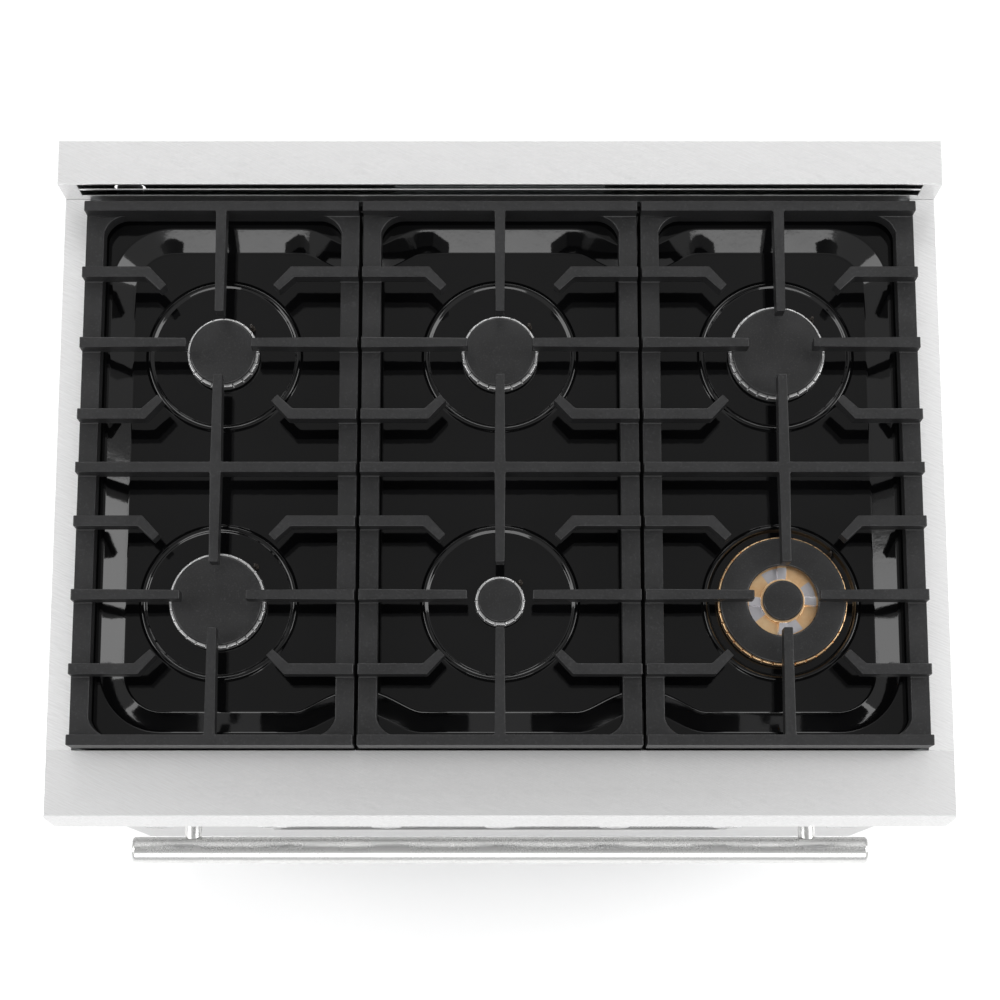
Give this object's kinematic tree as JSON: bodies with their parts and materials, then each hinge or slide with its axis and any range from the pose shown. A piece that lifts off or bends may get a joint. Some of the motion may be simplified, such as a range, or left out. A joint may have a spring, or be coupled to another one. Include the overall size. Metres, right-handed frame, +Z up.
{
  "type": "freestanding gas range",
  "caption": "Freestanding gas range with cast grates over sealed burners, a front ledge over the knobs, a low rear vent guard, and an oven behind a drop-down door.",
  "frame": {"origin": "on the floor under the middle of the range's bounding box", "axes": "+Z up, -Y toward the front (the door), +X to the right of someone facing the front"},
  "size_m": [0.914, 0.73, 0.955],
  "materials": {
    "stainless": "fine diagonal brushing, satin",
    "stainless_side": "vertical brushing, satin",
    "handle_steel": "polished tube, fine lengthwise brushing",
    "knob_metal": "satin turned faces",
    "bezel_metal": "bright",
    "galvanised": "galvanised sheet, matte",
    "leg_metal": "turned",
    "enamel_black": "gloss porcelain enamel",
    "enamel_oven": "speckled dark blue enamel",
    "cast_grate": "matte enamelled casting, fine grain",
    "cap_enamel": "satin black enamel",
    "head_aluminium": "bare casting, bright rim",
    "brass": "turned, heat-dulled",
    "rack_chrome": "bright wire",
    "guide_chrome": "satin wire and strip",
    "burner_steel": "dull heat-stained",
    "blanket": "mineral wool",
    "seal": "braided glass-fibre rope",
    "door_glass": "dark tinted",
    "clear_glass": "clear",
    "ceramic_glaze": "glazed",
    "gas_steel": "zinc plated pipe",
    "valve_brass": "cast",
    "tube_aluminium": "drawn tube",
    "screw_steel": "zinc"
  },
  "bodies": {
    "range_body": {"base_frame": "galvanised", "side_panel_left": "stainless_side", "side_panel_right": "stainless_side", "rear_panel": "galvanised", "kick_panel": "stainless", "levelling_legs": "leg_metal", "oven_liner": "enamel_oven", "oven_insulation": "blanket", "oven_floor_plate": "enamel_oven", "rack_guides": "guide_chrome", "bake_burner": "burner_steel", "broil_burner": "burner_steel", "flue_duct": "galvanised", "hinge_brackets": "gas_steel", "hinge_pins": "screw_steel", "cooktop_tray": "enamel_black", "front_ledge": "stainless", "backguard": "stainless", "burner_heads": "head_aluminium", "brass_burner_head": "brass", "burner_bases": "head_aluminium", "spark_electrodes": "ceramic_glaze", "control_panel": "stainless", "knob_bezels": "bezel_metal", "gas_valves": "valve_brass", "gas_manifold": "gas_steel", "burner_tubes": "tube_aluminium", "panel_screws": "screw_steel"},
    "oven_door": {"door_outer_panel": "stainless", "door_inner_panel": "enamel_oven", "door_outer_glass": "door_glass", "door_inner_glass": "clear_glass", "door_gasket": "seal", "handle_bar": "handle_steel", "handle_posts": "handle_steel"},
    "lower_rack": {"oven_rack_lower": "rack_chrome"},
    "upper_rack": {"oven_rack_upper": "rack_chrome"},
    "left_grate": {"grate_left": "cast_grate"},
    "centre_grate": {"grate_centre": "cast_grate"},
    "right_grate": {"grate_right": "cast_grate"},
    "rear_left_cap": {"cap_rear_left": "cap_enamel"},
    "rear_centre_cap": {"cap_rear_centre": "cap_enamel"},
    "rear_right_cap": {"cap_rear_right": "cap_enamel"},
    "front_left_cap": {"cap_front_left": "cap_enamel"},
    "front_centre_cap": {"cap_front_centre": "cap_enamel"},
    "front_right_ring_cap": {"cap_front_right_ring": "cap_enamel"},
    "front_right_inner_cap": {"cap_front_right_inner": "cap_enamel"},
    "stem_1": {"valve_stem_1": "screw_steel"},
    "burner_knob_1": {"knob_1": "knob_metal"},
    "stem_2": {"valve_stem_2": "screw_steel"},
    "burner_knob_2": {"knob_2": "knob_metal"},
    "stem_3": {"valve_stem_3": "screw_steel"},
    "burner_knob_3": {"knob_3": "knob_metal"},
    "stem_4": {"valve_stem_4": "screw_steel"},
    "burner_knob_4": {"knob_4": "knob_metal"},
    "stem_5": {"valve_stem_5": "screw_steel"},
    "burner_knob_5": {"knob_5": "knob_metal"},
    "stem_6": {"valve_stem_6": "screw_steel"},
    "burner_knob_6": {"knob_6": "knob_metal"},
    "oven_control": {"oven_knob": "knob_metal"}
  },
  "joints": [
    {"name": "door_hinge", "type": "hinge", "parent": "range_body", "child": "oven_door", "pos_m": [0, -0.2782, 0.166], "axis": [1, 0, 0], "range_deg": [0, 85], "stiffness_Nm_per_rad": 15, "springref_deg": -20.05},
    {"name": "lower_rack_slide", "type": "slide", "parent": "range_body", "child": "lower_rack", "axis": [0, -1, 0], "range_m": [0, 0.33]},
    {"name": "upper_rack_slide", "type": "slide", "parent": "range_body", "child": "upper_rack", "axis": [0, -1, 0], "range_m": [0, 0.33]},
    {"name": "left_grate_lift", "type": "slide", "parent": "range_body", "child": "left_grate", "axis": [0, 0, 1], "range_m": [0, 0.12]},
    {"name": "centre_grate_lift", "type": "slide", "parent": "range_body", "child": "centre_grate", "axis": [0, 0, 1], "range_m": [0, 0.12]},
    {"name": "right_grate_lift", "type": "slide", "parent": "range_body", "child": "right_grate", "axis": [0, 0, 1], "range_m": [0, 0.12]},
    {"name": "rear_left_cap_lift", "type": "slide", "parent": "range_body", "child": "rear_left_cap", "axis": [0, 0, 1], "range_m": [0, 0.012]},
    {"name": "rear_centre_cap_lift", "type": "slide", "parent": "range_body", "child": "rear_centre_cap", "axis": [0, 0, 1], "range_m": [0, 0.012]},
    {"name": "rear_right_cap_lift", "type": "slide", "parent": "range_body", "child": "rear_right_cap", "axis": [0, 0, 1], "range_m": [0, 0.012]},
    {"name": "front_left_cap_lift", "type": "slide", "parent": "range_body", "child": "front_left_cap", "axis": [0, 0, 1], "range_m": [0, 0.012]},
    {"name": "front_centre_cap_lift", "type": "slide", "parent": "range_body", "child": "front_centre_cap", "axis": [0, 0, 1], "range_m": [0, 0.012]},
    {"name": "front_right_ring_cap_lift", "type": "slide", "parent": "range_body", "child": "front_right_ring_cap", "axis": [0, 0, 1], "range_m": [0, 0.012]},
    {"name": "front_right_inner_cap_lift", "type": "slide", "parent": "range_body", "child": "front_right_inner_cap", "axis": [0, 0, 1], "range_m": [0, 0.012]},
    {"name": "knob_1_turn", "type": "hinge", "parent": "range_body", "child": "stem_1", "pos_m": [-0.354, -0.3, 0.815], "axis": [0, -1, 0], "range_deg": [0, 225]},
    {"name": "knob_1_push", "type": "slide", "parent": "stem_1", "child": "burner_knob_1", "axis": [0, 1, 0], "range_m": [0, 0.003], "stiffness_N_per_m": 2000},
    {"name": "knob_2_turn", "type": "hinge", "parent": "range_body", "child": "stem_2", "pos_m": [-0.236, -0.3, 0.815], "axis": [0, -1, 0], "range_deg": [0, 225]},
    {"name": "knob_2_push", "type": "slide", "parent": "stem_2", "child": "burner_knob_2", "axis": [0, 1, 0], "range_m": [0, 0.003], "stiffness_N_per_m": 2000},
    {"name": "knob_3_turn", "type": "hinge", "parent": "range_body", "child": "stem_3", "pos_m": [-0.118, -0.3, 0.815], "axis": [0, -1, 0], "range_deg": [0, 225]},
    {"name": "knob_3_push", "type": "slide", "parent": "stem_3", "child": "burner_knob_3", "axis": [0, 1, 0], "range_m": [0, 0.003], "stiffness_N_per_m": 2000},
    {"name": "knob_4_turn", "type": "hinge", "parent": "range_body", "child": "stem_4", "pos_m": [0.118, -0.3, 0.815], "axis": [0, -1, 0], "range_deg": [0, 225]},
    {"name": "knob_4_push", "type": "slide", "parent": "stem_4", "child": "burner_knob_4", "axis": [0, 1, 0], "range_m": [0, 0.003], "stiffness_N_per_m": 2000},
    {"name": "knob_5_turn", "type": "hinge", "parent": "range_body", "child": "stem_5", "pos_m": [0.236, -0.3, 0.815], "axis": [0, -1, 0], "range_deg": [0, 225]},
    {"name": "knob_5_push", "type": "slide", "parent": "stem_5", "child": "burner_knob_5", "axis": [0, 1, 0], "range_m": [0, 0.003], "stiffness_N_per_m": 2000},
    {"name": "knob_6_turn", "type": "hinge", "parent": "range_body", "child": "stem_6", "pos_m": [0.354, -0.3, 0.815], "axis": [0, -1, 0], "range_deg": [0, 225]},
    {"name": "knob_6_push", "type": "slide", "parent": "stem_6", "child": "burner_knob_6", "axis": [0, 1, 0], "range_m": [0, 0.003], "stiffness_N_per_m": 2000},
    {"name": "oven_knob_turn", "type": "hinge", "parent": "range_body", "child": "oven_control", "pos_m": [0, -0.3, 0.815], "axis": [0, -1, 0], "range_deg": [0, 300]}
  ],
  "couplings": [
    {"joint": "lower_rack_slide", "follows": "door_hinge", "m_per_rad": 0.22},
    {"joint": "upper_rack_slide", "follows": "door_hinge", "m_per_rad": 0.22}
  ]
}
